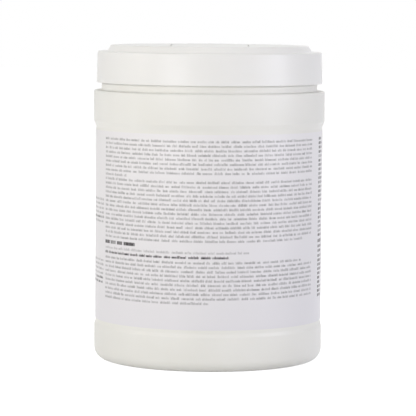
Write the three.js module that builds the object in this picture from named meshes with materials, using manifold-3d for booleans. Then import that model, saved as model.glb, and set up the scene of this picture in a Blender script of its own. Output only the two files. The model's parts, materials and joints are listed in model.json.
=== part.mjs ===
// A wipes canister: a blow-moulded jar with a wrap label, a press-on lid whose hinged cap covers
// the dispensing star, and the coreless roll of wipes that is drawn out through that star.
// Millimetres, +Z up, origin at the centre of the ring that the jar stands on.
// The back of the pack, with the small print and the cap's hinge, faces -Y.

import * as THREE from 'three';
import { mergeVertices } from 'three/addons/utils/BufferGeometryUtils.js';
import Module from 'manifold-3d';

const wasm = await Module();
wasm.setup();

// Fineness of round forms
const turnSteps = 48;
const quarterSteps = 3;
const planQuarterSteps = 6;
const scoopSteps = 32;
const joinDepth = 0.3;

// Jar, from the floor up
const shoulderRadius = 63.5;
const jarWall = 1.2;
const baseInset = 0.55;
const baseBandHeight = 19;
const heelRadius = 6.5;
const standRingWidth = 9.15;
const pushUpRun = 10.8;
const pushUpHeight = 5;
const panelInset = 1.25;
const panelHeight = 109.4;
const lowerStepHeight = 1.8;
const upperStepHeight = 3.3;
const stepRound = 1.4;
const shoulderBandHeight = 16.7;
const shoulderRound = 1.2;

// Neck, which the lid snaps over
const neckInset = 4.2;
const neckRound = 0.8;
const pryGap = 4.1;
const snapBead = 0.6;
const snapBeadHeight = 2.4;
const snapBeadDrop = 9;

// Wrap label
const glueGap = 0.05;
const labelThickness = 0.2;
const labelLift = 2.1;
const labelDrop = 1.5;
const labelSeamStep = 18;
const labelOverlapSteps = 1;

// Lid
const lidWall = 1.4;
const skirtHeight = 17.2;
const skirtDraft = 0.45;
const catchBead = 0.5;
const catchGap = 0.6;
const snapClearance = 0.3;
const seatClearance = 0.3;
const ledgeRound = 0.9;
const plugClearance = 0.3;
const plugWall = 1.2;
const plugDepth = 4.8;
const plateauInset = 0.3;
const plateauRise = 3.4;
const plateauTaper = 2;
const plateauRound = 0.9;

// Well and dispensing star in the lid
const wellDepth = 4;
const wellGap = 0.5;
const cupRadius = 12;
const cupDepth = 6.9;
const cupWall = 1.2;
const collarHeight = 1.6;
const petalThickness = 1;
const petalRise = 1.4;
const petalCount = 8;
const slitWidth = 0.8;
const slitMargin = 1.6;
const starRadius = 4.2;
const scoopWidth = 27;
const scoopDepth = 3.2;
const scoopReach = 4;

// Hinged cap
const capHalfWidth = 21;
const capBack = -24;
const capFront = 26;
const capCorner = 8;
const tabHalfWidth = 10;
const tabLength = 7;
const tabCorner = 3;
const capSkin = 1.4;
const capRim = 1.2;
const capSeat = 0.3;
const sealGap = 0.6;
const sealWall = 1.2;
const hingeGap = 1.2;
const hingeWeb = 0.5;
const hingeTip = 0.1;
const hingeHalfWidth = 15;

// Roll of wipes, and the end that is threaded through the star
const rollClearance = 1.6;
const rollCoreRadius = 17.8;
const rollSeat = 0.3;
const rollHeadroom = 2.3;
const rollTurns = 8;
const rollTurnDepth = 0.5;
const coneHeight = 21;
const threadClearance = 0.5;
const threadPleats = 5;
const pleatDepth = 0.18;
const threadTwist = 2.4;
const threadSides = 25;
const threadRings = 10;

// Heights that follow from the sizes above
const panelBottom = baseBandHeight + lowerStepHeight;
const panelTop = baseBandHeight + panelHeight;
const shoulderBottom = panelTop + upperStepHeight;
const shoulderTop = shoulderBottom + shoulderBandHeight;
const skirtBottom = shoulderTop + pryGap;
const ledgeTop = skirtBottom + skirtHeight;
const lidSeat = ledgeTop - lidWall;
const neckTop = lidSeat - seatClearance;
const plateauTop = ledgeTop + plateauRise;
const wellFloor = plateauTop - wellDepth;
const cupFloor = wellFloor - cupDepth;
const cupBottom = cupFloor - petalThickness;
const snapBeadTop = neckTop - snapBeadDrop;
const snapBeadBottom = snapBeadTop - snapBeadHeight;
const catchTop = snapBeadBottom - catchGap;

// Radii that follow from the sizes above
const baseRadius = shoulderRadius - baseInset;
const standRingInner = baseRadius - standRingWidth;
const pushUpRadius = standRingInner - pushUpRun;
const panelRadius = shoulderRadius - panelInset;
const neckRadius = shoulderRadius - neckInset;
const neckInner = neckRadius - jarWall;
const catchRadius = neckRadius + snapBead + snapClearance;
const skirtInner = catchRadius + catchBead;
const skirtOuter = skirtInner + lidWall;
const skirtOuterTop = skirtOuter - skirtDraft;
const plugRadius = neckInner - plugClearance;
const plateauBase = plugRadius - plugWall - plateauInset;
const plateauTopRadius = plateauBase - plateauTaper;
const collarRadius = cupRadius + cupWall;

// The hinge line of the cap
const hingeY = capBack - hingeGap / 2;
const hingeZ = plateauTop - hingeWeb / 2;

// Rounds each corner [x, y, radius] of an outline with an arc; a corner without a radius stays sharp.
function roundedOutline(corners, closed, perQuarter) {
  const at = (i) => new THREE.Vector2(...corners[(i + corners.length) % corners.length]);
  const points = [];
  corners.forEach(([x, y, radius = 0], i) => {
    const corner = new THREE.Vector2(x, y);
    const isEnd = !closed && (i === 0 || i === corners.length - 1);
    if (radius === 0 || isEnd) {
      points.push(corner);
      return;
    }
    const back = at(i - 1).sub(corner).normalize();
    const ahead = at(i + 1).sub(corner).normalize();
    const half = Math.acos(THREE.MathUtils.clamp(back.dot(ahead), -1, 1)) / 2;
    const bisector = back.clone().add(ahead).normalize();
    const centre = corner.clone().addScaledVector(bisector, radius / Math.sin(half));
    const start = corner.clone().addScaledVector(back, radius / Math.tan(half)).sub(centre);
    const sweep = (Math.PI - 2 * half) * Math.sign(ahead.cross(back));
    const steps = Math.max(1, Math.round((Math.abs(sweep) / (Math.PI / 2)) * perQuarter));
    for (let k = 0; k <= steps; k++) {
      const turned = start.clone().rotateAround(new THREE.Vector2(), (sweep * k) / steps);
      points.push(turned.add(centre));
    }
  });
  return points;
}

// A body of revolution about Z. An open profile starts and ends on the axis.
function revolve(corners, closed = false) {
  const points = roundedOutline(corners, closed, quarterSteps);
  if (closed) points.push(points[0].clone());
  return new THREE.LatheGeometry(points, turnSteps).rotateX(Math.PI / 2);
}

// A plain ring or disc about Z between two heights.
function ring(inner, outer, bottom, top) {
  const corners = [
    [inner, bottom],
    [outer, bottom],
    [outer, top],
    [inner, top],
  ];
  return revolve(corners, inner > 0);
}

// An upright prism on a closed outline.
function prism(points, bottom, top) {
  const settings = { depth: top - bottom, bevelEnabled: false };
  return new THREE.ExtrudeGeometry(new THREE.Shape(points), settings).translate(0, 0, bottom);
}

// A prism along X on an outline in the YZ plane, centred on x = 0.
function crossPrism(points, width) {
  const settings = { depth: width, bevelEnabled: false };
  return new THREE.ExtrudeGeometry(new THREE.Shape(points), settings)
    .translate(0, 0, -width / 2)
    .rotateY(Math.PI / 2)
    .rotateX(Math.PI / 2);
}

// A closed geometry as a solid that can be joined and cut.
function solid(geometry) {
  const plain = new THREE.BufferGeometry();
  plain.setAttribute('position', geometry.getAttribute('position'));
  plain.setIndex(geometry.getIndex());
  const merged = mergeVertices(plain, 1e-4);
  return new wasm.Manifold(
    new wasm.Mesh({
      numProp: 3,
      vertProperties: merged.attributes.position.array,
      triVerts: new Uint32Array(merged.index.array),
    }),
  );
}

// A solid as geometry with flat-shaded faces.
function geometryOf(body) {
  const mesh = body.getMesh();
  const geometry = new THREE.BufferGeometry();
  geometry.setAttribute('position', new THREE.BufferAttribute(mesh.vertProperties, 3));
  geometry.setIndex(new THREE.BufferAttribute(mesh.triVerts, 1));
  const flat = geometry.toNonIndexed();
  flat.computeVertexNormals();
  return flat;
}

function material(color, roughness) {
  return new THREE.MeshStandardMaterial({ color, roughness, metalness: 0 });
}

function part(name, geometry, finish) {
  const mesh = new THREE.Mesh(geometry, finish);
  mesh.name = name;
  return mesh;
}

const jarPlastic = material(0xefeee9, 0.42);
const lidPlastic = material(0xf3f2f0, 0.38);
const labelFilm = material(0xeae8ec, 0.45);
const wipeCloth = material(0xf6f8f8, 0.85);

// The jar: standing ring and push-up, base band, label panel, shoulder band, and the neck with
// its snap bead. The inside follows the outside at the wall's thickness.
function canisterBody() {
  const inner = {
    base: baseRadius - jarWall,
    panel: panelRadius - jarWall,
    shoulder: shoulderRadius - jarWall,
  };
  const corners = [
    [0, pushUpHeight],
    [pushUpRadius, pushUpHeight, heelRadius],
    [standRingInner, 0, jarWall],
    [baseRadius, 0, heelRadius],
    [baseRadius, baseBandHeight, stepRound],
    [panelRadius, panelBottom, stepRound],
    [panelRadius, panelTop, stepRound],
    [shoulderRadius, shoulderBottom, stepRound],
    [shoulderRadius, shoulderTop, shoulderRound],
    [neckRadius, shoulderTop, neckRound],
    [neckRadius, snapBeadBottom],
    [neckRadius + snapBead, snapBeadBottom + snapBead],
    [neckRadius + snapBead, snapBeadTop - snapBead],
    [neckRadius, snapBeadTop],
    [neckRadius, neckTop - jarWall / 3],
    [neckRadius - jarWall / 3, neckTop],
    [neckInner + jarWall / 3, neckTop],
    [neckInner, neckTop - jarWall / 3],
    [neckInner, shoulderTop - jarWall],
    [inner.shoulder, shoulderTop - jarWall],
    [inner.shoulder, shoulderBottom + jarWall / 2],
    [inner.panel, panelTop + jarWall / 2],
    [inner.panel, panelBottom - jarWall / 2],
    [inner.base, baseBandHeight - jarWall / 2],
    [inner.base, jarWall, heelRadius - jarWall],
    [standRingInner + jarWall / 2, jarWall],
    [pushUpRadius + jarWall / 2, pushUpHeight + jarWall],
    [0, pushUpHeight + jarWall],
  ];
  return revolve(corners);
}

// The label: one strip of film wound round the panel, its end lapping over its start.
function wrapLabel() {
  const inner = panelRadius + glueGap;
  const lapRise = labelThickness + glueGap;
  const strip = [];
  for (let k = 0; k <= turnSteps + labelOverlapSteps; k++) {
    const angle = ((k + labelSeamStep) / turnSteps) * 2 * Math.PI;
    strip.push({ angle, radius: k < turnSteps ? inner : inner + lapRise });
  }
  const onStrip = ({ angle, radius }, rise) =>
    new THREE.Vector2(Math.cos(angle), Math.sin(angle)).multiplyScalar(radius + rise);
  const outside = strip.map((point) => onStrip(point, labelThickness));
  const inside = strip.map((point) => onStrip(point, 0)).reverse();
  return prism([...outside, ...inside], panelBottom + labelLift, panelTop - labelDrop);
}

// Plan outline of the cap with its thumb tab, drawn in by an inset.
function capOutline(inset) {
  const side = capHalfWidth - inset;
  const tabSide = tabHalfWidth - inset;
  const front = capFront - inset;
  const tabFront = capFront + tabLength - inset;
  const back = capBack + inset;
  const corners = [
    [-side, back],
    [side, back],
    [side, front, capCorner - inset],
    [tabSide, front, tabCorner + inset],
    [tabSide, tabFront, tabCorner - inset],
    [-tabSide, tabFront, tabCorner - inset],
    [-tabSide, front, tabCorner + inset],
    [-side, front, capCorner - inset],
  ];
  return roundedOutline(corners, true, planQuarterSteps);
}

// The hole that the cap lies in: the cap's outline with a gap, and the hinge gap behind.
function wellOutline(outset) {
  const back = capBack - hingeGap - outset;
  const side = capHalfWidth + wellGap + outset;
  const front = capOutline(-wellGap - outset).slice(2);
  return [new THREE.Vector2(-side, back), new THREE.Vector2(side, back), ...front];
}

// The moulded shell of the lid before its middle is formed: skirt, ledge, plateau and plug.
function lidShell() {
  const hollow = plateauBase - lidWall;
  const hollowTop = plateauTopRadius - lidWall;
  const plugInner = plugRadius - plugWall;
  const corners = [
    [0, plateauTop - lidWall],
    [hollowTop, plateauTop - lidWall],
    [hollow, lidSeat],
    [plugInner, lidSeat],
    [plugInner, lidSeat - plugDepth],
    [plugRadius - plugWall / 2, lidSeat - plugDepth],
    [plugRadius, lidSeat - plugDepth + plugWall],
    [plugRadius, lidSeat],
    [skirtInner - skirtDraft, lidSeat],
    [skirtInner, catchTop],
    [catchRadius, catchTop - catchBead],
    [skirtInner, catchTop - 2 * catchBead],
    [skirtInner, skirtBottom],
    [skirtOuter, skirtBottom],
    [skirtOuterTop, ledgeTop, ledgeRound],
    [plateauBase, ledgeTop, ledgeRound / 2],
    [plateauTopRadius, plateauTop, plateauRound],
    [0, plateauTop],
  ];
  return revolve(corners);
}

// The ball that scoops the thumb recess in front of the tab, grown by an amount.
function scoopBall(growth) {
  const half = scoopWidth / 2;
  const radius = (half * half + scoopDepth * scoopDepth) / (2 * scoopDepth);
  const y = capFront + tabLength + scoopReach;
  return new THREE.SphereGeometry(radius + growth, scoopSteps, scoopSteps / 2)
    .rotateX(Math.PI / 2)
    .translate(0, y, plateauTop - scoopDepth + radius);
}

// The dispensing star: a shallow cone of petals round the hole that the wipe comes through.
function petals() {
  const corners = [
    [cupRadius + joinDepth, cupBottom],
    [cupRadius + joinDepth, cupFloor],
    [starRadius, cupFloor + petalRise],
    [starRadius, cupBottom + petalRise],
  ];
  return revolve(corners, true);
}

// The slits that part the petals.
function slits() {
  const length = cupRadius - slitMargin;
  const height = 4 * petalThickness;
  const cuts = [];
  for (let k = 0; k < petalCount; k++) {
    const slit = new THREE.BoxGeometry(length, slitWidth, height)
      .translate(length / 2, 0, cupFloor)
      .rotateZ(((k + 0.5) / petalCount) * 2 * Math.PI);
    cuts.push(solid(slit));
  }
  return wasm.Manifold.union(cuts);
}

// Half of the living hinge: a web that thins to an edge at the hinge line.
function hingeWebHalf(rootY, direction) {
  const into = rootY - direction * joinDepth;
  const points = [
    new THREE.Vector2(into, plateauTop),
    new THREE.Vector2(into, plateauTop - hingeWeb),
    new THREE.Vector2(rootY, plateauTop - hingeWeb),
    new THREE.Vector2(hingeY - direction * hingeTip, hingeZ),
    new THREE.Vector2(rootY, plateauTop),
  ];
  return crossPrism(points, 2 * hingeHalfWidth);
}

function lid() {
  const underside = plateauTop - lidWall;
  const wellBottom = wellFloor - lidWall;
  const collarTop = wellFloor + collarHeight;
  const within = ring(0, plateauTopRadius - lidWall, cupBottom, underside + joinDepth);
  const backing = solid(prism(wellOutline(lidWall), wellBottom, underside + joinDepth))
    .add(solid(scoopBall(lidWall)).intersect(solid(within)))
    .add(solid(ring(0, collarRadius, cupBottom, wellFloor)));
  const hollow = solid(prism(wellOutline(0), wellFloor, plateauTop + wellDepth))
    .subtract(solid(ring(0, collarRadius, wellFloor - joinDepth, collarTop)))
    .add(solid(scoopBall(0)))
    .add(solid(ring(0, cupRadius, cupBottom - joinDepth, collarTop + joinDepth)));
  const shell = solid(lidShell()).add(backing).subtract(hollow);
  const star = solid(petals()).subtract(slits());
  const hinge = solid(hingeWebHalf(capBack - hingeGap, 1));
  return geometryOf(shell.add(star).add(hinge));
}

// The cap: a thin panel with a turned-down rim, and under it the ring that seals on the collar.
function flipCap() {
  const underside = plateauTop - capSkin;
  const foot = wellFloor + capSeat;
  const sealInner = collarRadius + sealGap;
  const panel = solid(prism(capOutline(0), foot, plateauTop));
  const inside = solid(prism(capOutline(capRim), foot - joinDepth, underside));
  const seal = solid(ring(sealInner, sealInner + sealWall, foot, underside + joinDepth));
  const hinge = solid(hingeWebHalf(capBack, -1));
  return geometryOf(panel.subtract(inside).add(seal).add(hinge));
}

// The wound web without its threaded end, its turns showing as ridges on the top.
function woundRoll(bottom, top, outer) {
  const corners = [
    [rollCoreRadius, bottom],
    [outer, bottom],
  ];
  const pitch = (outer - rollCoreRadius) / rollTurns;
  for (let k = 0; k < rollTurns; k++) {
    const edge = outer - k * pitch;
    corners.push([edge, top - rollTurnDepth], [edge - pitch / 2, top]);
  }
  corners.push([rollCoreRadius, top - rollTurnDepth]);
  return revolve(corners, true);
}

// The first wipe, drawn up from the inner turns as a pleated cone and twisted through the star.
function threadedEnd(rollTop) {
  const throat = starRadius - threadClearance;
  const coneTop = cupBottom - threadClearance;
  const coneBottom = coneTop - coneHeight;
  const tip = wellFloor;
  const height = tip - coneBottom;
  const sides = threadSides;
  const vertices = [];
  for (let k = 0; k <= threadRings; k++) {
    const z = coneBottom + (height * k) / threadRings;
    const along = THREE.MathUtils.clamp((z - coneBottom) / (coneTop - coneBottom), 0, 1);
    const outer = THREE.MathUtils.lerp(rollCoreRadius + 2 * joinDepth, throat, along);
    const pleat = pleatDepth * along;
    for (let j = 0; j < sides; j++) {
      const angle = (j / sides) * 2 * Math.PI;
      const wave = (1 - Math.cos(threadPleats * (angle - (threadTwist * k) / threadRings))) / 2;
      const radius = outer * (1 - pleat * 2 * wave);
      vertices.push(radius * Math.cos(angle), radius * Math.sin(angle), z);
    }
  }
  const faces = [];
  for (let k = 0; k < threadRings; k++) {
    for (let j = 0; j < sides; j++) {
      const a = k * sides + j;
      const b = k * sides + ((j + 1) % sides);
      faces.push(a, b, b + sides, a, b + sides, a + sides);
    }
  }
  const bottomCentre = vertices.length / 3;
  vertices.push(0, 0, coneBottom, 0, 0, tip);
  const last = threadRings * sides;
  for (let j = 0; j < sides; j++) {
    const next = (j + 1) % sides;
    faces.push(bottomCentre, next, j, bottomCentre + 1, last + j, last + next);
  }
  const geometry = new THREE.BufferGeometry();
  geometry.setAttribute('position', new THREE.Float32BufferAttribute(vertices, 3));
  geometry.setIndex(faces);
  return geometry;
}

function wipesRoll() {
  const bottom = pushUpHeight + jarWall + rollSeat;
  const top = cupBottom - rollHeadroom;
  const outer = neckInner - rollClearance;
  return geometryOf(solid(woundRoll(bottom, top, outer)).add(solid(threadedEnd(top))));
}

const canister = new THREE.Group();
canister.add(part('canister_body', canisterBody(), jarPlastic));
canister.add(part('label', wrapLabel(), labelFilm));
canister.add(part('wipes_roll', wipesRoll(), wipeCloth));

const closure = new THREE.Group();
closure.add(part('lid', lid(), lidPlastic));
closure.add(part('flip_cap', flipCap(), lidPlastic));
canister.add(closure);

export default canister;
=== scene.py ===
import json
import math
import random
from bisect import bisect_left

import bmesh
import bpy
from mathutils import Matrix, Vector


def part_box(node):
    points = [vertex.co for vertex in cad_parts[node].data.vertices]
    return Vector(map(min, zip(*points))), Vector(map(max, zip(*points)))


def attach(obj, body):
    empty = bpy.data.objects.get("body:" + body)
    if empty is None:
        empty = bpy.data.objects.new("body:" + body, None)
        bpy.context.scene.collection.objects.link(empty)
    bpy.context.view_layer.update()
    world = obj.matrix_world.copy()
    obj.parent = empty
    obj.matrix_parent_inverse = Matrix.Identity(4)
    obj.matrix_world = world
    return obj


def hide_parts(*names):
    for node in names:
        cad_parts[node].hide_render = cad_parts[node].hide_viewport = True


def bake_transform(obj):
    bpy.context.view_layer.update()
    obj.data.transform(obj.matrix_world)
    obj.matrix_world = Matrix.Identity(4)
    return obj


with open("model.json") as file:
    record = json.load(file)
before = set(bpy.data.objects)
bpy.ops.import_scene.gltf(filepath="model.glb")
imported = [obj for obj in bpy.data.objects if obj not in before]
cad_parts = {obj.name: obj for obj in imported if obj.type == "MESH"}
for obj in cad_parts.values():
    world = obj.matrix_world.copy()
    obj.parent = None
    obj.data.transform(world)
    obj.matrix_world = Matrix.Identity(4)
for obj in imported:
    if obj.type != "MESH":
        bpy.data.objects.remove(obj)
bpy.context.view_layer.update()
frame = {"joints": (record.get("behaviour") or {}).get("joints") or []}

MM = 0.001

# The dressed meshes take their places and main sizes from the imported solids.
jar_high = Vector(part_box("canister_body")[1]) / MM
label_low, label_high = (Vector(c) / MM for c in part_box("label"))
lid_low, lid_high = (Vector(c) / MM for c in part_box("lid"))
cap_low, cap_high = (Vector(c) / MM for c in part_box("flip_cap"))
roll_low, roll_high = (Vector(c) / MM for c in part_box("wipes_roll"))
hinge = next(j for j in frame["joints"] if j["name"] == "flip_cap_hinge")

# Fineness of round forms, tolerances, and how far large faces outweigh small ones in shading
TURN_STEPS = 192
FINE_STEPS = 96
ARC_STEP = math.radians(11)
ON_AXIS = 1e-6
WELD = 0.002
FLAT_WEIGHT = 90


# Colour and numbers

def linear(channel):
    """An sRGB channel from 0 to 255 as linear light."""
    value = channel / 255
    return value / 12.92 if value <= 0.04045 else ((value + 0.055) / 1.055) ** 2.4


def rgba(red, green, blue):
    return (linear(red), linear(green), linear(blue), 1.0)


def lerp(a, b, t):
    return a + (b - a) * t


# Meshes, in millimetres until they are made into objects

def rounded(corners, closed):
    """Points of an outline whose corners are (x, y) or (x, y, radius), with arcs at the radii."""
    points = []
    count = len(corners)
    for i, corner in enumerate(corners):
        here = Vector(corner[:2])
        radius = corner[2] if len(corner) > 2 else 0
        if radius == 0 or (not closed and i in (0, count - 1)):
            points.append(here)
            continue
        back = (Vector(corners[i - 1][:2]) - here).normalized()
        ahead = (Vector(corners[(i + 1) % count][:2]) - here).normalized()
        half = back.angle(ahead) / 2
        centre = here + (back + ahead).normalized() * (radius / math.sin(half))
        start = here + back * (radius / math.tan(half)) - centre
        turn = math.pi - 2 * half
        sign = 1 if ahead.x * back.y - ahead.y * back.x > 0 else -1
        steps = max(1, round(turn / ARC_STEP))
        for k in range(steps + 1):
            angle = sign * turn * k / steps
            spun = Matrix.Rotation(angle, 2) @ start
            points.append(centre + spun)
    return points


def revolve(points, steps=TURN_STEPS, closed=False):
    """A bmesh turned about Z from (radius, z) points. An open profile starts and ends on the axis."""
    bm = bmesh.new()
    rings = []
    for radius, z in points:
        if radius < ON_AXIS:
            rings.append([bm.verts.new((0, 0, z))])
            continue
        ring = []
        for k in range(steps):
            angle = 2 * math.pi * k / steps
            ring.append(bm.verts.new((radius * math.cos(angle), radius * math.sin(angle), z)))
        rings.append(ring)
    pairs = list(zip(rings, rings[1:]))
    if closed:
        pairs.append((rings[-1], rings[0]))
    for low, high in pairs:
        for k in range(steps):
            n = (k + 1) % steps
            corners = [low[k % len(low)], low[n % len(low)], high[n % len(high)], high[k % len(high)]]
            bm.faces.new(list(dict.fromkeys(corners)))
    return bm


def prism(outline, bottom, top):
    """A bmesh of an upright prism on a closed outline."""
    bm = bmesh.new()
    low = [bm.verts.new((x, y, bottom)) for x, y in outline]
    high = [bm.verts.new((x, y, top)) for x, y in outline]
    count = len(outline)
    for k in range(count):
        n = (k + 1) % count
        bm.faces.new([low[k], low[n], high[n], high[k]])
    bm.faces.new(list(reversed(low)))
    bm.faces.new(high)
    return bm


def ring_block(inner, outer, bottom, top, steps=FINE_STEPS):
    """A bmesh of a plain ring or disc about Z."""
    if inner > 0:
        return revolve([(inner, bottom), (outer, bottom), (outer, top), (inner, top)], steps, True)
    return revolve([(0, bottom), (outer, bottom), (outer, top), (0, top)], steps)


def finished(bm, sharp_deg=32):
    """Faces turned outwards and shaded smooth, with the edges sharper than an angle left crisp."""
    bmesh.ops.recalc_face_normals(bm, faces=bm.faces)
    if bm.calc_volume(signed=True) < 0:
        bmesh.ops.reverse_faces(bm, faces=bm.faces)
    limit = math.radians(sharp_deg)
    for face in bm.faces:
        face.smooth = True
    for edge in bm.edges:
        edge.smooth = len(edge.link_faces) == 2 and edge.calc_face_angle(0) < limit
    return bm


def to_object(bm, name, material=None, sharp_deg=32, large_flats=False):
    """An object in metres from a bmesh in millimetres. Large flats can keep their shading level."""
    finished(bm, sharp_deg)
    bmesh.ops.scale(bm, vec=(MM, MM, MM), verts=bm.verts)
    mesh = bpy.data.meshes.new(name)
    bm.to_mesh(mesh)
    bm.free()
    obj = bpy.data.objects.new(name, mesh)
    bpy.context.scene.collection.objects.link(obj)
    if material:
        mesh.materials.append(material)
    if large_flats:
        modifier = obj.modifiers.new("level_flats", "WEIGHTED_NORMAL")
        modifier.keep_sharp = True
        modifier.weight = FLAT_WEIGHT
    return obj


def combined(base, steps):
    """A bmesh after boolean steps of (operation, other bmesh), worked out exactly."""
    body = to_object(base, "combining")
    for operation, other in steps:
        tool = to_object(other, "combining_tool")
        modifier = body.modifiers.new("cut", "BOOLEAN")
        modifier.operation = operation
        modifier.solver = "EXACT"
        modifier.object = tool
        graph = bpy.context.evaluated_depsgraph_get()
        mesh = bpy.data.meshes.new_from_object(body.evaluated_get(graph))
        body.modifiers.clear()
        body.data = mesh
        bpy.data.objects.remove(tool)
    bm = bmesh.new()
    bm.from_mesh(body.data)
    bpy.data.objects.remove(body)
    bmesh.ops.scale(bm, vec=(1 / MM, 1 / MM, 1 / MM), verts=bm.verts)
    bmesh.ops.remove_doubles(bm, verts=bm.verts, dist=WELD)
    return bm


# Materials; the scales of their noises count per metre

CLOUD_STOPS = (0.3, 0.7)
PLASTIC_SCATTER = (1.0, 0.9, 0.8)
PLASTIC_SCATTER_DEPTH = 1.5 * MM
PLASTIC_CLOUD = 22
PLASTIC_SMEAR = 60
PLASTIC_GLOSS_SPREAD = (-0.05, 0.06)
PLASTIC_GRAIN_STRENGTH = 0.35

# Film ground colours with painted shade: darker towards the label's foot, lighter towards its top, as
# light falls off down the jar
FILM_LOW_WITH_PAINTED_SHADE = rgba(233, 231, 235)
FILM_MIDDLE_WITH_PAINTED_SHADE = rgba(235, 233, 236)
FILM_HIGH_WITH_PAINTED_LIGHT = rgba(239, 237, 239)
PAINTED_SHADE_MIDDLE_AT = 0.45
INK = rgba(42, 36, 40)
FILM_SMEAR = 45
FILM_ROUGHNESS = (0.34, 0.46)
FILM_RIPPLE = 55
FILM_RIPPLE_DEPTH = 0.12 * MM
FILM_RIPPLE_STRENGTH = 0.25

CLOTH_DARK = rgba(222, 227, 230)
CLOTH_PALE = rgba(242, 244, 245)
CLOTH_SHEEN = 0.25
CLOTH_SCATTER = 0.25
CLOTH_FIBRE = 900
CLOTH_DAMP = 120
CLOTH_ROUGHNESS = (0.5, 0.74)
DIMPLE = 420
DIMPLE_DEPTH = 0.12 * MM
DIMPLE_STRENGTH = 0.6
FIBRE_DEPTH = 0.05 * MM
FIBRE_STRENGTH = 0.5


def new_material(name, base, roughness, specular=0.5):
    """A principled material and handles to its node tree."""
    material = bpy.data.materials.new(name)
    material.use_nodes = True
    nodes = material.node_tree.nodes
    shader = nodes["Principled BSDF"]
    shader.inputs["Base Color"].default_value = base
    shader.inputs["Roughness"].default_value = roughness
    shader.inputs["Specular IOR Level"].default_value = specular
    return material, nodes, material.node_tree.links, shader


def noise(nodes, links, scale, detail=3.0, stretch=None):
    """A noise texture on the object's own place, stretched along its axes if asked."""
    place = nodes.new("ShaderNodeTexCoord")
    texture = nodes.new("ShaderNodeTexNoise")
    texture.inputs["Scale"].default_value = scale
    texture.inputs["Detail"].default_value = detail
    source = place.outputs["Object"]
    if stretch:
        mapping = nodes.new("ShaderNodeMapping")
        mapping.inputs["Scale"].default_value = stretch
        links.new(source, mapping.inputs["Vector"])
        source = mapping.outputs["Vector"]
    links.new(source, texture.inputs["Vector"])
    return texture.outputs["Fac"]


def ramp(nodes, links, factor, stops):
    """A colour ramp of (position, colour) stops."""
    stops = list(stops)
    node = nodes.new("ShaderNodeValToRGB")
    elements = node.color_ramp.elements
    while len(elements) < len(stops):
        elements.new(0.5)
    for element, (position, colour) in zip(elements, stops):
        element.position = position
        element.color = colour
    links.new(factor, node.inputs["Fac"])
    return node.outputs["Color"]


def remap(nodes, links, factor, low, high):
    """A factor from 0 to 1 mapped to a range."""
    node = nodes.new("ShaderNodeMapRange")
    node.inputs["To Min"].default_value = low
    node.inputs["To Max"].default_value = high
    links.new(factor, node.inputs["Value"])
    return node.outputs["Result"]


def bump(nodes, links, shader, height, distance, strength=1.0):
    node = nodes.new("ShaderNodeBump")
    node.inputs["Strength"].default_value = strength
    node.inputs["Distance"].default_value = distance
    links.new(height, node.inputs["Height"])
    links.new(node.outputs["Normal"], shader.inputs["Normal"])
    return node


def moulded_plastic(name, light, shade, roughness, grain, grain_depth, subsurface):
    """Satin plastic: faint cloudiness in the colour, uneven gloss and a fine moulded grain."""
    material, nodes, links, shader = new_material(name, light, roughness)
    shader.inputs["Subsurface Weight"].default_value = subsurface
    shader.inputs["Subsurface Radius"].default_value = PLASTIC_SCATTER
    shader.inputs["Subsurface Scale"].default_value = PLASTIC_SCATTER_DEPTH
    cloud = noise(nodes, links, PLASTIC_CLOUD, 2)
    tint = ramp(nodes, links, cloud, zip(CLOUD_STOPS, (shade, light)))
    links.new(tint, shader.inputs["Base Color"])
    smear = noise(nodes, links, PLASTIC_SMEAR, 4)
    low, high = (roughness + spread for spread in PLASTIC_GLOSS_SPREAD)
    links.new(remap(nodes, links, smear, low, high), shader.inputs["Roughness"])
    moulding = noise(nodes, links, grain, 2)
    bump(nodes, links, shader, moulding, grain_depth, PLASTIC_GRAIN_STRENGTH)
    return material


jar_plastic = moulded_plastic(
    "jar_plastic", light=rgba(241, 240, 236), shade=rgba(236, 235, 230), roughness=0.42,
    grain=1400, grain_depth=0.03 * MM, subsurface=0.1)
lid_plastic = moulded_plastic(
    "lid_plastic", light=rgba(243, 242, 240), shade=rgba(240, 239, 237), roughness=0.36,
    grain=2600, grain_depth=0.015 * MM, subsurface=0.08)


def label_film():
    """Satin film: pale lavender ground with painted shade, darker towards the label's foot and
    lighter towards its top, and grey print where ink is.
    """
    material, nodes, links, shader = new_material("label_film", rgba(237, 235, 238), 0.4)
    place = nodes.new("ShaderNodeTexCoord")
    split = nodes.new("ShaderNodeSeparateXYZ")
    links.new(place.outputs["Object"], split.inputs["Vector"])
    rise = nodes.new("ShaderNodeMapRange")
    rise.inputs["From Min"].default_value = label_low.z * MM
    rise.inputs["From Max"].default_value = label_high.z * MM
    links.new(split.outputs["Z"], rise.inputs["Value"])
    # Painted shade: the ground darkens from the label's top down to its foot
    stops = [(0.0, FILM_LOW_WITH_PAINTED_SHADE), (PAINTED_SHADE_MIDDLE_AT, FILM_MIDDLE_WITH_PAINTED_SHADE), (1.0, FILM_HIGH_WITH_PAINTED_LIGHT)]
    ground = ramp(nodes, links, rise.outputs["Result"], stops)
    ink = nodes.new("ShaderNodeAttribute")
    ink.attribute_name = "ink"
    mix = nodes.new("ShaderNodeMix")
    mix.data_type = "RGBA"
    links.new(ink.outputs["Fac"], mix.inputs["Factor"])
    links.new(ground, mix.inputs["A"])
    mix.inputs["B"].default_value = INK
    links.new(mix.outputs["Result"], shader.inputs["Base Color"])
    smear = noise(nodes, links, FILM_SMEAR, 3)
    links.new(remap(nodes, links, smear, *FILM_ROUGHNESS), shader.inputs["Roughness"])
    ripple = noise(nodes, links, FILM_RIPPLE, 2, (1, 1, 0.5))
    bump(nodes, links, shader, ripple, FILM_RIPPLE_DEPTH, FILM_RIPPLE_STRENGTH)
    return material


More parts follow.
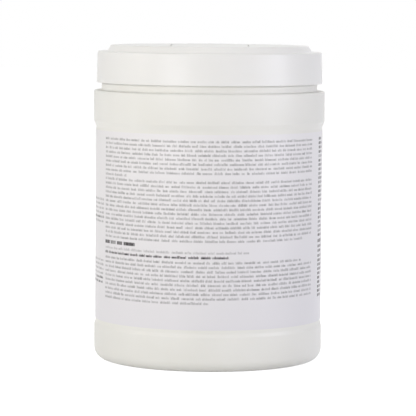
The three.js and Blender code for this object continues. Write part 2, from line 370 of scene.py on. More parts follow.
def wipe_cloth():
    """Moist nonwoven: white fibres, an embossed dimple pattern and damp, uneven gloss."""
    material, nodes, links, shader = new_material("wipe_cloth", rgba(238, 241, 242), 0.62)
    shader.inputs["Sheen Weight"].default_value = CLOTH_SHEEN
    shader.inputs["Subsurface Weight"].default_value = CLOTH_SCATTER
    shader.inputs["Subsurface Radius"].default_value = (1.0, 1.0, 1.0)
    shader.inputs["Subsurface Scale"].default_value = MM
    fibre = noise(nodes, links, CLOTH_FIBRE, 6, (1, 1, 0.35))
    tint = ramp(nodes, links, fibre, zip(CLOUD_STOPS, (CLOTH_DARK, CLOTH_PALE)))
    links.new(tint, shader.inputs["Base Color"])
    damp = noise(nodes, links, CLOTH_DAMP, 2)
    links.new(remap(nodes, links, damp, *CLOTH_ROUGHNESS), shader.inputs["Roughness"])
    place = nodes.new("ShaderNodeTexCoord")
    dimples = nodes.new("ShaderNodeTexVoronoi")
    dimples.inputs["Scale"].default_value = DIMPLE
    links.new(place.outputs["Object"], dimples.inputs["Vector"])
    deep = bump(nodes, links, shader, dimples.outputs["Distance"], DIMPLE_DEPTH, DIMPLE_STRENGTH)
    fine = nodes.new("ShaderNodeBump")
    fine.inputs["Strength"].default_value = FIBRE_STRENGTH
    fine.inputs["Distance"].default_value = FIBRE_DEPTH
    links.new(fibre, fine.inputs["Height"])
    links.new(fine.outputs["Normal"], deep.inputs["Normal"])
    return material


film = label_film()
cloth = wipe_cloth()


# Jar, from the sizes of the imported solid; heights in millimetres above the table

JAR_WALL = 1.2
SHOULDER_R = jar_high.x
BASE_R = SHOULDER_R - 0.55
PANEL_R = SHOULDER_R - 1.25
NECK_R = SHOULDER_R - 4.2
NECK_TOP = jar_high.z
STAND_INNER_R = BASE_R - 9.15
PUSH_UP_R = STAND_INNER_R - 10.8
PUSH_UP_Z = 5.0
BASE_BAND_Z = 19.0
PANEL_Z = (BASE_BAND_Z + 1.8, label_high.z + 1.5)
SHOULDER_Z = (PANEL_Z[1] + 3.3, PANEL_Z[1] + 20.0)
BEAD_Z = (NECK_TOP - 11.4, NECK_TOP - 9.0)
BEAD = 0.6
HEEL = 6.5
STAND_EDGE = 1.2
BAND_EDGE = 1.4
SHOULDER_EDGE = 1.2
NECK_FOOT_EDGE = 0.8
INNER_NECK_EDGE = 0.5
INNER_EDGE = 1.0
BEAD_EDGE = 0.4
PARTING_HALF = 0.22
PARTING_RISE = 0.07
PARTING_FROM = 0.3
PINCH_LENGTH = 62.0
PINCH_WIDTH = 0.9
PINCH_DEPTH = 0.35
PINCH_SINK = 0.2


def jar_profile():
    """Half section of the jar, up its outside, over the rim and down its inside."""
    lip = JAR_WALL / 2 - 0.02
    inner_neck = NECK_R - JAR_WALL
    return rounded([
        (0, PUSH_UP_Z),
        (PUSH_UP_R, PUSH_UP_Z, HEEL),
        (STAND_INNER_R, 0, STAND_EDGE),
        (BASE_R, 0, HEEL),
        (BASE_R, BASE_BAND_Z, BAND_EDGE),
        (PANEL_R, PANEL_Z[0], BAND_EDGE),
        (PANEL_R, PANEL_Z[1], BAND_EDGE),
        (SHOULDER_R, SHOULDER_Z[0], BAND_EDGE),
        (SHOULDER_R, SHOULDER_Z[1], SHOULDER_EDGE),
        (NECK_R, SHOULDER_Z[1], NECK_FOOT_EDGE),
        (NECK_R, BEAD_Z[0], BEAD_EDGE),
        (NECK_R + BEAD, BEAD_Z[0] + BEAD, BEAD_EDGE),
        (NECK_R + BEAD, BEAD_Z[1] - BEAD, BEAD_EDGE),
        (NECK_R, BEAD_Z[1], BEAD_EDGE),
        (NECK_R, NECK_TOP, lip),
        (inner_neck, NECK_TOP, lip),
        (inner_neck, SHOULDER_Z[1] - JAR_WALL, INNER_NECK_EDGE),
        (SHOULDER_R - JAR_WALL, SHOULDER_Z[1] - JAR_WALL, INNER_EDGE),
        (SHOULDER_R - JAR_WALL, SHOULDER_Z[0] + JAR_WALL / 2, BAND_EDGE),
        (PANEL_R - JAR_WALL, PANEL_Z[1] + JAR_WALL / 2, BAND_EDGE),
        (PANEL_R - JAR_WALL, PANEL_Z[0] - JAR_WALL / 2, BAND_EDGE),
        (BASE_R - JAR_WALL, BASE_BAND_Z - JAR_WALL / 2, BAND_EDGE),
        (BASE_R - JAR_WALL, JAR_WALL, HEEL - JAR_WALL),
        (STAND_INNER_R + JAR_WALL / 2, JAR_WALL, INNER_EDGE),
        (PUSH_UP_R + JAR_WALL / 2, PUSH_UP_Z + JAR_WALL, HEEL),
        (0, PUSH_UP_Z + JAR_WALL),
    ], False)


def parting_angles(radius):
    """Turn angles with extra columns for the mould's parting line at both sides."""
    angles = [2 * math.pi * k / TURN_STEPS for k in range(TURN_STEPS)]
    half = PARTING_HALF / radius
    for side in (0, math.pi):
        angles += [(side + half * share) % (2 * math.pi) for share in (-2, -1, 1, 2)]
    return sorted(angles)


def make_jar():
    """The jar with its parting line standing a little proud of the outer wall."""
    profile = jar_profile()
    angles = parting_angles(SHOULDER_R)
    turned = revolve(profile, len(angles))
    rim = max(range(len(profile)), key=lambda i: profile[i].y)
    half = PARTING_HALF / SHOULDER_R
    turned.verts.ensure_lookup_table()
    index = 0
    for i, (radius, z) in enumerate(profile):
        if radius < ON_AXIS:
            index += 1
            continue
        for angle in angles:
            off = abs(math.remainder(angle, math.pi))
            outer_wall = i < rim and z > PARTING_FROM and radius > STAND_INNER_R
            reach = radius + (PARTING_RISE if outer_wall and off < 1.5 * half else 0)
            turned.verts[index].co = (reach * math.cos(angle), reach * math.sin(angle), z)
            index += 1
    jar = to_object(turned, "jar_shell", jar_plastic, sharp_deg=50)
    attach(jar, "canister")
    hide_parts("canister_body")


def make_pinch_off():
    """The line where the mould pinched the parison shut, across the pushed-up floor."""
    length, width = PINCH_LENGTH / 2, PINCH_WIDTH / 2
    end = PINCH_WIDTH / 2.1
    outline = rounded([
        (-length, -width, end),
        (length, -width, end),
        (length, width, end),
        (-length, width, end),
    ], True)
    bar = prism(outline, PUSH_UP_Z - PINCH_DEPTH, PUSH_UP_Z + PINCH_SINK)
    seam = to_object(bar, "pinch_off_line", jar_plastic)
    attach(seam, "canister")


make_jar()
make_pinch_off()


# Label: one strip of film, its printed rows being faces of the film itself

FILM = 0.2
GLUE = 0.05
FILM_R = PANEL_R + GLUE + FILM
SEAM_DEG = 135.0
LAP_DEG = 7.5
BACK_DEG = -90.0
LAP_LIFT = 3.0
LAP_RUN = 2.8
COLUMN = 0.4
COARSE_COLUMN = 2.4
SHORTEST_COLUMN = 0.1
ROW_PITCH = 2.4
X_HEIGHT = 1.0
ASCENDER = 0.45
TALL = 1.35

# Printed panels: where each begins and ends along the film, from the back's middle line
BACK_PANEL = (-69.0, 69.0)
LEFT_PANEL = (-108.0, -71.0)
RIGHT_PANEL = (79.6, 122.0)
PANELS = (LEFT_PANEL, BACK_PANEL, RIGHT_PANEL)
MARKS_END = 86.5
MARKS_GAP = 1.5

# Ink, of which 1 and more is black
TEXT_INK = 0.4
FAINT_INK = 0.28
BOLD_INK = 0.8
HEADING_INK = 0.9
BLACK_INK = 1.3
INK_SEED = 11
WORD_INK = (0.9, 1.1)
STROKE_INK = (0.55, 1.35)
TALL_STROKE_INK = (0.6, 1.2)
TALL_STROKES = 0.3

# Blocks of the back panel from the top down: foot of the first row, number of rows, share of the
# panel that the last row fills, letter height, ink and typical word
BACK_BLOCKS = (
    (122.5, 9, 0.15, X_HEIGHT, TEXT_INK, 5.0),
    (100.9, 14, 0.93, X_HEIGHT, TEXT_INK, 5.0),
    (66.3, 1, 0.19, TALL, HEADING_INK, 9.0),
    (63.5, 1, 0.66, X_HEIGHT, FAINT_INK, 5.5),
    (61.0, 1, 0.59, X_HEIGHT, BOLD_INK, 6.0),
    (58.2, 1, 0.92, X_HEIGHT, TEXT_INK, 5.0),
    (55.8, 9, 0.5, X_HEIGHT, TEXT_INK, 5.0),
)

# Side panels: the marks are blacker below a height, and the left panel has two bands of rows
BLACK_BELOW = 72
LEFT_BANDS = ((76, 91), (42, 58))
LEFT_BOLD_BANDS = ((77, 80), (43, 48))
MARK_WORD = 3.5
RIGHT_WORD = 4.5
LEFT_WORD = 4.0
WORD_LENGTH = (0.35, 1.6)
WORD_GAP = (0.7, 1.1)
SHORTEST_WORD = 1.0


def in_bands(height, bands):
    return any(low < height < high for low, high in bands)


def printed_rows():
    """(foot, letter height, start, end, ink, word length) of each row, by panel."""
    rows = []
    for top, count, last_share, height, ink, word in BACK_BLOCKS:
        for k in range(count):
            end = lerp(*BACK_PANEL, last_share if k == count - 1 else 1.0)
            rows.append((top - k * ROW_PITCH, height, BACK_PANEL[0], end, ink, word))
    for foot, height, *_ in list(rows):
        marks = BLACK_INK if foot < BLACK_BELOW else HEADING_INK
        rows.append((foot, height, RIGHT_PANEL[0], MARKS_END, marks, MARK_WORD))
        rows.append((foot, height, MARKS_END + MARKS_GAP, RIGHT_PANEL[1], TEXT_INK, RIGHT_WORD))
        if in_bands(foot, LEFT_BANDS):
            ink = BOLD_INK if in_bands(foot, LEFT_BOLD_BANDS) else TEXT_INK
            rows.append((foot, height, *LEFT_PANEL, ink, LEFT_WORD))
    return rows


def words(generator, start, end, typical):
    """(from, to) of each word along a row."""
    spans = []
    place = start
    while place < end - SHORTEST_WORD:
        length = typical * generator.uniform(*WORD_LENGTH)
        spans.append((place, min(end, place + length)))
        place += length + generator.uniform(*WORD_GAP)
    return spans


def film_columns():
    """Arc places, in millimetres from the back's middle line, of the columns round the film."""
    turn = 2 * math.pi * FILM_R
    seam = math.radians(SEAM_DEG - BACK_DEG) * FILM_R - turn
    end = seam + turn + math.radians(LAP_DEG) * FILM_R
    places = []
    place = seam
    while place < end - SHORTEST_COLUMN:
        places.append(place)
        fine = any(low <= place < high for low, high in PANELS)
        step = COLUMN if fine else COARSE_COLUMN
        coming = [low for low, high in PANELS if place < low < place + step]
        place = coming[0] if coming else place + step
    places.append(end)
    return places, seam, turn


def film_radius(place, seam, turn):
    """Outer radius of the film: its end lies over its start."""
    lift_from = seam + turn - LAP_LIFT
    share = min(1.0, max(0.0, (place - lift_from) / LAP_RUN))
    return FILM_R + (FILM + GLUE) * share * share * (3 - 2 * share)


def inked_cells(places):
    """Height levels of the film and the ink of each (level, column) that is printed."""
    generator = random.Random(INK_SEED)
    levels = {round(label_low.z, 3), round(label_high.z, 3)}
    for foot, height, *_ in printed_rows():
        levels |= {round(foot, 3), round(foot + height, 3), round(foot + height + ASCENDER, 3)}
    levels = sorted(levels)
    middles = [(a + b) / 2 for a, b in zip(places, places[1:])]
    cells = {}
    for foot, height, start, end, ink, typical in printed_rows():
        low = levels.index(round(foot, 3))
        capital = ink > BOLD_INK or height == TALL
        for left, right in words(generator, start, end, typical):
            shade = ink * generator.uniform(*WORD_INK)
            for c in range(bisect_left(middles, left), bisect_left(middles, right)):
                cells[low, c] = shade * generator.uniform(*STROKE_INK)
                if capital or generator.random() < TALL_STROKES:
                    cells[low + 1, c] = shade * generator.uniform(*TALL_STROKE_INK)
    return levels, cells


def make_label():
    """The film: a column of points at each place, up its outside, then two on its inside."""
    places, seam, turn = film_columns()
    levels, cells = inked_cells(places)
    vertices = []
    faces = []
    amounts = []
    for place in places:
        angle = math.radians(BACK_DEG) + place / FILM_R
        outer = film_radius(place, seam, turn)
        for z in levels:
            vertices.append((outer * math.cos(angle), outer * math.sin(angle), z))
        for z in (levels[0], levels[-1]):
            inner = outer - FILM
            vertices.append((inner * math.cos(angle), inner * math.sin(angle), z))
    tall = len(levels)
    stride = tall + 2
    for c in range(len(places) - 1):
        a, b = c * stride, (c + 1) * stride
        for r in range(tall - 1):
            faces.append((a + r, b + r, b + r + 1, a + r + 1))
            amounts.append(min(1.0, cells.get((r, c), 0.0)))
        faces.append((a + tall, a + tall + 1, b + tall + 1, b + tall))
        faces.append((a + tall, b + tall, b, a))
        faces.append((a + tall - 1, b + tall - 1, b + tall + 1, a + tall + 1))
        amounts += [0.0, 0.0, 0.0]
    last = (len(places) - 1) * stride
    faces.append([tall + 1, tall, *range(tall)])
    faces.append([last + tall, last + tall + 1, *range(last + tall - 1, last - 1, -1)])
    amounts += [0.0, 0.0]
    bm = bmesh.new()
    layer = bm.faces.layers.float.new("ink")
    made = [bm.verts.new(v) for v in vertices]
    for indices, amount in zip(faces, amounts):
        face = bm.faces.new([made[i] for i in indices])
        face[layer] = amount
    label = to_object(bm, "label_wrap", film, sharp_deg=40)
    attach(label, "canister")
    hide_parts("label")


make_label()


# Lid: shell, well for the cap, dispensing star and thumb scoop

LID_WALL = 1.4
LID_TOP = lid_high.z
SKIRT_Z = lid_low.z
SKIRT_R = lid_high.x
LEDGE_Z = SKIRT_Z + 17.2
LID_SEAT = LEDGE_Z - LID_WALL
CATCH_R = NECK_R + BEAD + 0.3
CATCH_Z = BEAD_Z[0] - 0.6
CATCH = 0.5
PLUG_R = NECK_R - JAR_WALL - 0.3
PLUG_WALL = 1.2
PLUG_DEPTH = 4.8
PLATEAU_R = PLUG_R - PLUG_WALL - 0.3
PLATEAU_TOP_R = PLATEAU_R - 2.0
WELL_Z = LID_TOP - 4.0
CUP_R = 12.0
CUP_WALL = 1.2
COLLAR_R = CUP_R + CUP_WALL
COLLAR_TOP = WELL_Z + 1.6
CUP_Z = WELL_Z - 6.9
PETAL = 1.0
PETAL_RISE = 1.4
PETAL_COUNT = 8
STAR_R = 4.2
SLIT = 0.8
SLIT_END = CUP_R - 1.6
WELL_GAP = 0.5
HINGE_GAP = 1.2
HINGE_WEB = 0.5
HINGE_TIP = 0.1
HINGE_HALF = 15.0
HINGE_LINE = Vector(hinge["pos_m"]) / MM
SCOOP_WIDTH = 27.0
SCOOP_DEPTH = 3.2
SCOOP_REACH = 4.0
SCOOP_STEPS = 14
PLATEAU_INNER_EDGE = 1.0
LEDGE_EDGE = 0.9
FOOT_EDGE = 0.45
SKIRT_DRAFT = 0.45
SKIRT_FOOT_EDGE = 0.35
SEAT_EDGE = 0.5
CATCH_EDGE = 0.3
FINE_EDGE = 0.25
PLUG_EDGE = 0.4
STAR_EDGE = 0.4
STAR_ROOT = 0.4
SLIT_REACH = 3.0
EASED_EDGE = 0.22
EASED_WITHIN = 50.0
EASED_FROM = WELL_Z - 0.1
OVERLAP = 0.3
THIN_OVERLAP = 0.2
WIDE_OVERLAP = 0.5
WEB_ROOT = 0.4
ABOVE = 4.0

# Cap in plan
CAP_SIDE = cap_high.x
CAP_BACK = HINGE_LINE.y + HINGE_GAP / 2
TAB_FRONT = cap_high.y
TAB_LENGTH = 7.0
CAP_FRONT = TAB_FRONT - TAB_LENGTH
TAB_SIDE = 10.0
CAP_CORNER = 8.0
TAB_CORNER = 3.0
CAP_SKIN = 1.4
CAP_RIM = 1.2
CAP_FOOT = cap_low.z
CAP_EDGE = 0.3
SEAL_RING = (COLLAR_R + 0.6, COLLAR_R + 1.8)
WELL_SQUARE = 5.0

# Film of the living hinge
FILM_HALF_WIDTH = 0.34
FILM_HALF_THICK = 0.075
FILM_STEPS = 10
FILM_COLUMNS = 24


def cap_plan(inset):
    """The cap's outline, drawn in by an inset."""
    side = CAP_SIDE - inset
    tab = TAB_SIDE - inset
    front = CAP_FRONT - inset
    tip = TAB_FRONT - inset
    back = CAP_BACK + inset
    return rounded([
        (-side, back),
        (side, back),
        (side, front, CAP_CORNER - inset),
        (tab, front, TAB_CORNER + inset),
        (tab, tip, TAB_CORNER - inset),
        (-tab, tip, TAB_CORNER - inset),
        (-tab, front, TAB_CORNER + inset),
        (-side, front, CAP_CORNER - inset),
    ], True)


def well_plan(outset):
    """The hole that the cap lies in, grown by an outset."""
    side = CAP_SIDE + WELL_GAP + outset
    back = CAP_BACK - HINGE_GAP - outset
    front = [p for p in cap_plan(-WELL_GAP - outset) if p.y > CAP_BACK + WELL_SQUARE]
    return [Vector((-side, back)), Vector((side, back))] + front


def lid_profile():
    """Half section of the lid's shell, before its middle is formed."""
    hollow = PLATEAU_R - LID_WALL
    inner = CATCH_R + CATCH
    under = LID_TOP - LID_WALL
    plug_foot = LID_SEAT - PLUG_DEPTH
    return rounded([
        (0, under),
        (PLATEAU_TOP_R - LID_WALL, under, PLATEAU_INNER_EDGE),
        (hollow, LID_SEAT, SEAT_EDGE),
        (PLUG_R - PLUG_WALL, LID_SEAT, PLUG_EDGE),
        (PLUG_R - PLUG_WALL, plug_foot, FINE_EDGE),
        (PLUG_R - PLUG_WALL / 2, plug_foot, FINE_EDGE),
        (PLUG_R, plug_foot + PLUG_WALL, SEAT_EDGE),
        (PLUG_R, LID_SEAT, FINE_EDGE),
        (inner - SKIRT_DRAFT, LID_SEAT, SEAT_EDGE),
        (inner, CATCH_Z, CATCH_EDGE),
        (CATCH_R, CATCH_Z - CATCH, CATCH_EDGE),
        (inner, CATCH_Z - 2 * CATCH, CATCH_EDGE),
        (inner, SKIRT_Z, CATCH_EDGE),
        (SKIRT_R, SKIRT_Z, SKIRT_FOOT_EDGE),
        (SKIRT_R - SKIRT_DRAFT, LEDGE_Z, LEDGE_EDGE),
        (PLATEAU_R, LEDGE_Z, FOOT_EDGE),
        (PLATEAU_TOP_R, LID_TOP, LEDGE_EDGE),
        (0, LID_TOP),
    ], False)


def scoop_ball(growth, top):
    """The part below a height of the ball that scoops the thumb recess, grown by an amount."""
    half = SCOOP_WIDTH / 2
    radius = (half * half + SCOOP_DEPTH * SCOOP_DEPTH) / (2 * SCOOP_DEPTH)
    centre = LID_TOP - SCOOP_DEPTH + radius
    radius += growth
    reach = math.acos((centre - top) / radius)
    points = []
    for k in range(SCOOP_STEPS + 1):
        angle = reach * k / SCOOP_STEPS
        points.append((radius * math.sin(angle), centre - radius * math.cos(angle)))
    points[0] = (0, points[0][1])
    points.append((0, top))
    ball = revolve(points, FINE_STEPS)
    bmesh.ops.translate(ball, vec=(0, TAB_FRONT + SCOOP_REACH, 0), verts=ball.verts)
    return ball


def slits():
    """The slits that part the petals, with round ends."""
    made = bmesh.new()
    half = SLIT / 2
    end = SLIT / 2.05
    outline = rounded([(0, -half), (SLIT_END, -half, end), (SLIT_END, half, end), (0, half)], True)
    for k in range(PETAL_COUNT):
        turn = Matrix.Rotation(math.radians(360 * (k + 0.5) / PETAL_COUNT), 2)
        bar = prism([turn @ p for p in outline], CUP_Z - SLIT_REACH, CUP_Z + SLIT_REACH)
        mesh = bpy.data.meshes.new("slit")
        bar.to_mesh(mesh)
        bar.free()
        made.from_mesh(mesh)
        bpy.data.meshes.remove(mesh)
    return made


def petals():
    """The shallow cone of petals round the hole that the wipe comes through."""
    outer = CUP_R + STAR_ROOT
    return revolve(rounded([
        (outer, CUP_Z - PETAL),
        (outer, CUP_Z),
        (STAR_R, CUP_Z + PETAL_RISE, STAR_EDGE),
        (STAR_R, CUP_Z + PETAL_RISE - PETAL, STAR_EDGE),
    ], True), FINE_STEPS, True)


def hinge_web(root, direction):
    """Half of the living hinge: a web that thins to an edge at the hinge line."""
    into = root - direction * WEB_ROOT
    outline = [
        (into, LID_TOP),
        (into, LID_TOP - HINGE_WEB),
        (root, LID_TOP - HINGE_WEB),
        (HINGE_LINE.y - direction * HINGE_TIP, HINGE_LINE.z),
        (root, LID_TOP),
    ]
    bm = bmesh.new()
    ends = [[bm.verts.new((x, y, z)) for y, z in outline] for x in (-HINGE_HALF, HINGE_HALF)]
    count = len(outline)
    for k in range(count):
        n = (k + 1) % count
        bm.faces.new([ends[0][k], ends[0][n], ends[1][n], ends[1][k]])
    bm.faces.new(list(reversed(ends[0])))
    bm.faces.new(ends[1])
    return bm


def eased(bm, width, within, sharp_deg=38, segments=2):
    """Rounds the sharp edges whose middles pass a test."""
    bmesh.ops.recalc_face_normals(bm, faces=bm.faces)
    bmesh.ops.dissolve_degenerate(bm, edges=bm.edges, dist=0.01)
    limit = math.radians(sharp_deg)
    edges = []
    for edge in bm.edges:
        if len(edge.link_faces) != 2 or edge.calc_face_angle(0) < limit:
            continue
        middle = (edge.verts[0].co + edge.verts[1].co) / 2
        if within(middle):
            edges.append(edge)
    bmesh.ops.bevel(bm, geom=edges, offset=width, offset_type="OFFSET", segments=segments,
                    profile=0.5, affect="EDGES", clamp_overlap=True)
    return bm


def make_lid():
    under = LID_TOP - LID_WALL + OVERLAP
    cup_foot = CUP_Z - PETAL
    body = combined(revolve(lid_profile()), [
        ("UNION", prism(well_plan(LID_WALL), WELL_Z - LID_WALL, under)),
        ("UNION", scoop_ball(LID_WALL, under)),
        ("UNION", ring_block(0, COLLAR_R, cup_foot, WELL_Z - THIN_OVERLAP)),
        ("DIFFERENCE", prism(well_plan(0), WELL_Z, LID_TOP + ABOVE)),
        ("UNION", ring_block(CUP_R - WIDE_OVERLAP, COLLAR_R, WELL_Z - OVERLAP, COLLAR_TOP)),
        ("DIFFERENCE", scoop_ball(0, LID_TOP + ABOVE)),
        ("DIFFERENCE", ring_block(0, CUP_R, cup_foot - OVERLAP, LID_TOP)),
    ])
    eased(body, EASED_EDGE, lambda p: p.xy.length < EASED_WITHIN and p.z > EASED_FROM)
    star = combined(petals(), [("DIFFERENCE", slits())])
    body = combined(body, [
        ("UNION", star),
        ("UNION", hinge_web(CAP_BACK - HINGE_GAP, 1)),
    ])
    lid = to_object(body, "lid_shell", lid_plastic, sharp_deg=35, large_flats=True)
    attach(lid, "lid")
    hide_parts("lid")


def make_cap():
    under = LID_TOP - CAP_SKIN
    body = combined(prism(cap_plan(0), CAP_FOOT, LID_TOP), [
        ("DIFFERENCE", prism(cap_plan(CAP_RIM), CAP_FOOT - WIDE_OVERLAP, under)),
        ("UNION", ring_block(*SEAL_RING, CAP_FOOT, under + OVERLAP)),
    ])
    eased(body, CAP_EDGE, lambda p: True, sharp_deg=50, segments=3)
    body = combined(body, [("UNION", hinge_web(CAP_BACK, -1))])
    cap = to_object(body, "cap_shell", lid_plastic, sharp_deg=35, large_flats=True)
    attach(cap, "flip_cap")
    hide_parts("flip_cap")


def make_hinge_film():
    """The thin film of the living hinge, a flat strip along the hinge line between the two webs."""
    steps, columns = FILM_STEPS, FILM_COLUMNS
    end = HINGE_HALF - OVERLAP
    bm = bmesh.new()
    sides = []
    for sign in (-1, 1):
        grid = []
        for i in range(columns + 1):
            x = lerp(-end, end, i / columns)
            row = []
            for j in range(steps + 1):
                y = HINGE_LINE.y + lerp(-FILM_HALF_WIDTH, FILM_HALF_WIDTH, j / steps)
                row.append(bm.verts.new((x, y, HINGE_LINE.z + sign * FILM_HALF_THICK)))
            grid.append(row)
        sides.append(grid)
    low, high = sides
    for i in range(columns):
        for j in range(steps):
            bm.faces.new([high[i][j], high[i + 1][j], high[i + 1][j + 1], high[i][j + 1]])
            bm.faces.new([low[i][j], low[i][j + 1], low[i + 1][j + 1], low[i + 1][j]])
        for j in (0, steps):
            bm.faces.new([low[i][j], low[i + 1][j], high[i + 1][j], high[i][j]])
    for j in range(steps):
        for i in (0, columns):
            bm.faces.new([low[i][j], high[i][j], high[i][j + 1], low[i][j + 1]])
    strip = to_object(bm, "hinge_film", lid_plastic)
    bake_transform(strip)


make_lid()
make_cap()
make_hinge_film()


# Roll of wipes

CORE_R = 17.8
ROLL_R = roll_high.x
ROLL_TOP = CUP_Z - PETAL - 2.3
ROLL_BOTTOM = roll_low.z
ROLL_GAP = 0.05
ROLL_RINGS = 132
TURN_PITCH = 1.75
TURN_DEPTH = 0.8
TURN_ROUNDNESS = 0.6
WANDER = 0.35
WANDER_PER_TURN = 1.7
WANDER_ROUND = 2.0
OTHER_END_PHASE = 2.0

# The threaded wipe: pleats as (count round the cone, depth), a twist and a hollow tip
WIPE_SEED = 5
WIPE_SIDES = 160
WIPE_LEVELS = 90
WIPE_LOW = ROLL_TOP - 15.0
WIPE_TIP = WELL_Z - 0.2
THROAT_Z = CUP_Z - PETAL - 0.5
THROAT_R = STAR_R - 0.5
PLEATS = ((5, 0.5), (9, 0.25), (14, 0.14))
PLEAT_SHARE = 0.10
PLEAT_GROWTH = 0.42
CONE_BEND = 0.85
TWIST = 5.5
TIP_TWIST = 1.2
TIP_DROP = 1.3
TIP_RINGS = 6
TIP_HOLLOW = 2.2
TIP_MIDDLE = 3.0


def joined(bm, one, two):
    """Faces between two loops of points."""
    count = len(one)
    for j in range(count):
        n = (j + 1) % count
        bm.faces.new([one[j], one[n], two[n], two[j]])


def wound_height(radius, angle, phase):
    """Drop of the roll's end face below its highest turn, wound as a spiral."""
    turn = (radius - CORE_R) / TURN_PITCH - angle / (2 * math.pi)
    ridge = abs(math.sin(math.pi * turn)) ** TURN_ROUNDNESS
    slow = 0.5 + 0.5 * math.sin(WANDER_PER_TURN * turn + phase + WANDER_ROUND * math.sin(angle))
    return TURN_DEPTH * (1 - ridge) + WANDER * slow


def make_roll():
    """The wound web: the turns show as a spiral on both ends, and the side is the outer turn."""
    steps = TURN_STEPS
    bm = bmesh.new()
    loops = []
    for top in (True, False):
        for k in range(ROLL_RINGS + 1):
            share = k / ROLL_RINGS if top else 1 - k / ROLL_RINGS
            radius = lerp(CORE_R, ROLL_R - ROLL_GAP, share)
            loop = []
            for j in range(steps):
                angle = 2 * math.pi * j / steps
                drop = wound_height(radius, angle, 0.0 if top else OTHER_END_PHASE)
                z = ROLL_TOP - drop if top else ROLL_BOTTOM + drop
                loop.append(bm.verts.new((radius * math.cos(angle), radius * math.sin(angle), z)))
            loops.append(loop)
    for one, two in zip(loops, loops[1:] + loops[:1]):
        joined(bm, one, two)
    roll = to_object(bm, "wound_wipes", cloth, sharp_deg=60)
    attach(roll, "canister")
    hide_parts("wipes_roll")


def wipe_loop(bm, level, pleats):
    """One loop of the threaded wipe, from its foot in the roll at level 0 to its tip."""
    z = lerp(WIPE_LOW, WIPE_TIP, level / WIPE_LEVELS)
    along = min(1.0, max(0.0, (z - WIPE_LOW) / (THROAT_Z - WIPE_LOW)))
    end = max(0.0, (z - THROAT_Z) / (WIPE_TIP - THROAT_Z))
    cone = lerp(CORE_R + OVERLAP, THROAT_R, along ** CONE_BEND)
    loop = []
    for j in range(WIPE_SIDES):
        angle = 2 * math.pi * j / WIPE_SIDES
        wave = 0.0
        for count, size, phase in pleats:
            turned = count * angle + phase - TWIST * along - TIP_TWIST * end
            wave += size * (0.5 + 0.5 * math.cos(turned))
        radius = cone * (1 - (PLEAT_SHARE + PLEAT_GROWTH * along) * wave)
        rise = -TIP_DROP * wave if level == WIPE_LEVELS else 0.0
        loop.append(bm.verts.new((radius * math.cos(angle), radius * math.sin(angle), z + rise)))
    return loop


def make_threaded_wipe():
    """The first wipe: a pleated cone up from the core, twisted through the star, its end loose."""
    generator = random.Random(WIPE_SEED)
    pleats = [(count, size, generator.uniform(0, 6)) for count, size in PLEATS]
    bm = bmesh.new()
    loops = [wipe_loop(bm, level, pleats) for level in range(WIPE_LEVELS + 1)]
    for one, two in zip(loops, loops[1:]):
        joined(bm, one, two)
    rim = loops[-1]
    previous = rim
    for k in range(1, TIP_RINGS):
        share = 1 - k / TIP_RINGS
        dip = TIP_HOLLOW * math.sin(math.pi / 2 * (k / TIP_RINGS))
        loop = [bm.verts.new((v.co.x * share, v.co.y * share, v.co.z - dip)) for v in rim]
        joined(bm, previous, loop)
        previous = loop
    peak = bm.verts.new((0, 0, WIPE_TIP - TIP_MIDDLE))
    floor = bm.verts.new((0, 0, WIPE_LOW))
    for j in range(WIPE_SIDES):
        n = (j + 1) % WIPE_SIDES
        bm.faces.new([previous[j], previous[n], peak])
        bm.faces.new([loops[0][n], loops[0][j], floor])
    wipe = to_object(bm, "threaded_wipe", cloth, sharp_deg=80)
    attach(wipe, "canister")
    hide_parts("wipes_roll")


make_roll()
make_threaded_wipe()


# Camera, at the photograph's place: level eye height and distance in metres

EYE_HEIGHT = 0.1972
EYE_DISTANCE = 1.402
AIM_HEIGHT = 0.0832
FOCAL_PX = 2542.0
EYE_SIDE = -0.0003
FRAME_PX = 416.0
SENSOR = 36.0
LEAN = math.radians(0.45)
CLIP_START = 0.05


def make_camera():
    data = bpy.data.cameras.new("camera")
    data.sensor_width = SENSOR
    data.lens = FOCAL_PX * SENSOR / FRAME_PX
    data.clip_start = CLIP_START
    camera = bpy.data.objects.new("camera", data)
    bpy.context.scene.collection.objects.link(camera)
    camera.location = (EYE_SIDE, -EYE_DISTANCE, EYE_HEIGHT)
    aim = Vector((EYE_SIDE, 0, AIM_HEIGHT)) - camera.location
    level = aim.to_track_quat("-Z", "Y").to_matrix()
    camera.rotation_euler = (level @ Matrix.Rotation(LEAN, 3, "Z")).to_euler()
    bpy.context.scene.camera = camera


# Light: a plain pale room, soft lamps all round, and a floor and room that are white where they
# are looked at

ROOM = (0.22, 0.22, 0.21, 1)
FLOOR = rgba(214, 214, 214)
FLOOR_GLOW = 0.92
FLOOR_SEEN = (0.5, 0.5, 0.5, 1)
FLOOR_HALF = 6.0
FLOOR_CLEAR = 0.02
LAMP_AIM = Vector((0, 0, 0.09))

# Name, place, size, watts, colour, and whether the lamp shows in glossy surfaces
LAMPS = (
    ("key_lamp", (-0.65, -0.95, 0.3), 0.5, 3.5, (0.97, 0.95, 1.0), True),
    ("front_lamp", (-0.3, -2.2, 0.3), 1.0, 10.5, (1.0, 1.0, 0.9), False),
    ("left_lamp", (-0.65, -0.2, 0.33), 0.35, 0.84, (1.0, 0.98, 0.9), True),
    ("right_lamp", (0.6, -0.25, 0.27), 0.35, 1.5, (0.89, 0.89, 1.0), True),
    ("back_lamp", (0.2, 1.3, 1.0), 1.0, 8.5, (1.0, 1.0, 1.0), False),
    ("top_lamp", (0.0, 0.0, 1.8), 0.8, 5.5, (1.0, 1.0, 1.0), True),
)


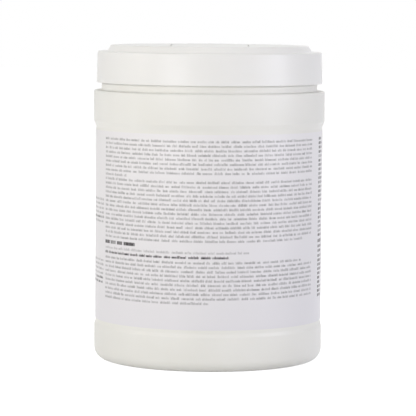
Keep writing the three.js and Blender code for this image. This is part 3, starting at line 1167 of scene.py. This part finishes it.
def looked_at(nodes, links):
    """1 for rays by which the eye sees a surface, straight or by a mirror or glass, and else 0."""
    sight = nodes.new("ShaderNodeLightPath")
    total = sight.outputs["Is Camera Ray"]
    for kind in ("Is Glossy Ray", "Is Transmission Ray"):
        add = nodes.new("ShaderNodeMath")
        add.operation = "ADD"
        add.use_clamp = True
        links.new(total, add.inputs[0])
        links.new(sight.outputs[kind], add.inputs[1])
        total = add.outputs["Value"]
    return total


def make_floor():
    floor, nodes, links, shader = new_material("pale_floor", FLOOR, 0.9, 0.1)
    glow = nodes.new("ShaderNodeEmission")
    glow.inputs["Strength"].default_value = FLOOR_GLOW
    bright = nodes.new("ShaderNodeBsdfDiffuse")
    bright.inputs["Color"].default_value = FLOOR_SEEN
    seen = nodes.new("ShaderNodeAddShader")
    links.new(glow.outputs["Emission"], seen.inputs[0])
    links.new(bright.outputs["BSDF"], seen.inputs[1])
    mix = nodes.new("ShaderNodeMixShader")
    links.new(looked_at(nodes, links), mix.inputs["Fac"])
    links.new(shader.outputs["BSDF"], mix.inputs[1])
    links.new(seen.outputs["Shader"], mix.inputs[2])
    links.new(mix.outputs["Shader"], nodes["Material Output"].inputs["Surface"])
    bm = bmesh.new()
    half = FLOOR_HALF / MM
    corners = ((-half, -half), (half, -half), (half, half), (-half, half))
    bm.faces.new([bm.verts.new((x, y, -FLOOR_CLEAR)) for x, y in corners])
    obj = to_object(bm, "floor", floor)


def make_world():
    world = bpy.data.worlds.new("room")
    bpy.context.scene.world = world
    world.use_nodes = True
    nodes, links = world.node_tree.nodes, world.node_tree.links
    mix = nodes.new("ShaderNodeMix")
    mix.data_type = "RGBA"
    links.new(looked_at(nodes, links), mix.inputs["Factor"])
    mix.inputs["A"].default_value = ROOM
    mix.inputs["B"].default_value = (1, 1, 1, 1)
    links.new(mix.outputs["Result"], nodes["Background"].inputs["Color"])


def make_lamp(name, place, size, watts, colour, mirrored):
    data = bpy.data.lights.new(name, "AREA")
    data.color = colour
    data.shape = "DISK"
    data.size = size
    data.energy = watts
    lamp = bpy.data.objects.new(name, data)
    lamp.visible_camera = False
    lamp.visible_glossy = mirrored
    bpy.context.scene.collection.objects.link(lamp)
    lamp.location = place
    aim = LAMP_AIM - lamp.location
    lamp.rotation_euler = aim.to_track_quat("-Z", "Y").to_euler()


make_camera()
make_floor()
make_world()
for lamp in LAMPS:
    make_lamp(*lamp)

bpy.context.scene.view_settings.view_transform = "Standard"
